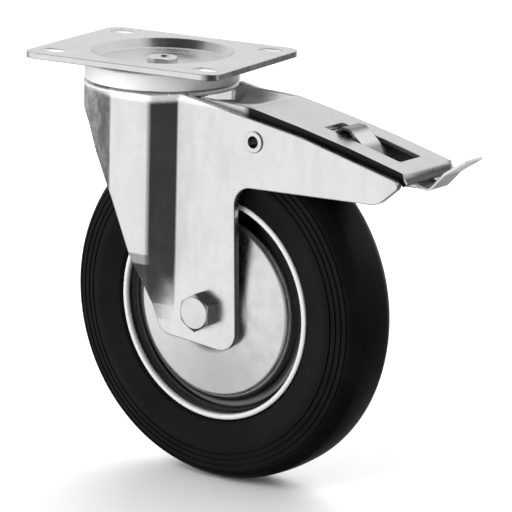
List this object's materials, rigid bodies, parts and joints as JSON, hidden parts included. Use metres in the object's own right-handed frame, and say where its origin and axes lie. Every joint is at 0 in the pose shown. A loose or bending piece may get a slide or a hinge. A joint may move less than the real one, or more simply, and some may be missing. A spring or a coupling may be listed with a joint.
{
  "type": "braked swivel castor",
  "caption": "Plate-mounted swivel castor for a gate or frame: rubber-tyred pressed-steel wheel in a long-armed fork, with a foot lever that brakes wheel and swivel.",
  "frame": {"origin": "centre of the four slots on the top plate's mounting face, which is the swivel axis", "axes": "+Z out of the mounting face (up in use), X along the plate's long side, Y along its short side; the fork stands 7.4 degrees clockwise of X at rest, as in the reference view"},
  "size_m": [0.2726, 0.1005, 0.2361],
  "materials": {
    "zinc_sheet": "bright zinc-plated pressed sheet, lightly mottled",
    "zinc_plate": "bright zinc-plated pressed plate",
    "zinc_ring": "very bright zinc-plated ring",
    "lever_zinc": "zinc-plated sheet, satin",
    "rim_zinc": "zinc-plated pressed wheel centre with a satin face",
    "spring_strip": "bright spring strip",
    "plain_steel": "plain passivated steel",
    "bolt_zinc": "zinc-plated fastener",
    "bearing_steel": "polished bearing steel",
    "cage_plastic": "plain moulded cage",
    "seal_grey": "grey thread guard",
    "tyre_rubber": "black solid rubber, satin"
  },
  "bodies": {
    "plate": {"top_plate": "zinc_plate", "king_pin": "bolt_zinc", "lock_disc": "plain_steel", "lower_balls": "bearing_steel"},
    "fork": {"fork": "zinc_sheet", "race_ring": "zinc_ring", "upper_balls": "bearing_steel", "axle_bolt": "bolt_zinc", "axle_nut": "bolt_zinc", "nut_washer": "bolt_zinc", "axle_sleeve": "plain_steel", "brake_pivot_tube": "bolt_zinc"},
    "wheel": {"tyre": "tyre_rubber", "rim_near": "rim_zinc", "rim_far": "rim_zinc", "hub_tube": "rim_zinc", "hub_seal_near": "seal_grey", "hub_seal_far": "seal_grey", "rollers": "bearing_steel", "roller_cage": "cage_plastic"},
    "lever": {"brake_lever": "lever_zinc", "latch_leaf": "spring_strip", "lock_pawl": "plain_steel", "brake_shoe": "plain_steel", "pawl_rivets": "bolt_zinc"}
  },
  "joints": [
    {"name": "swivel", "type": "hinge", "parent": "plate", "child": "fork", "pos_m": [0, 0, 0], "axis": [0, 0, 1], "continuous": true},
    {"name": "wheel_spin", "type": "hinge", "parent": "fork", "child": "wheel", "pos_m": [0.05191, -0.00674, -0.1365], "axis": [0.1288, 0.9917, 0], "continuous": true},
    {"name": "brake_lever_hinge", "type": "hinge", "parent": "fork", "child": "lever", "pos_m": [0.08489, -0.01102, -0.036], "axis": [0.1288, 0.9917, 0], "range_deg": [0, 8], "stiffness_Nm_per_rad": 4, "springref_deg": -20.05}
  ]
}
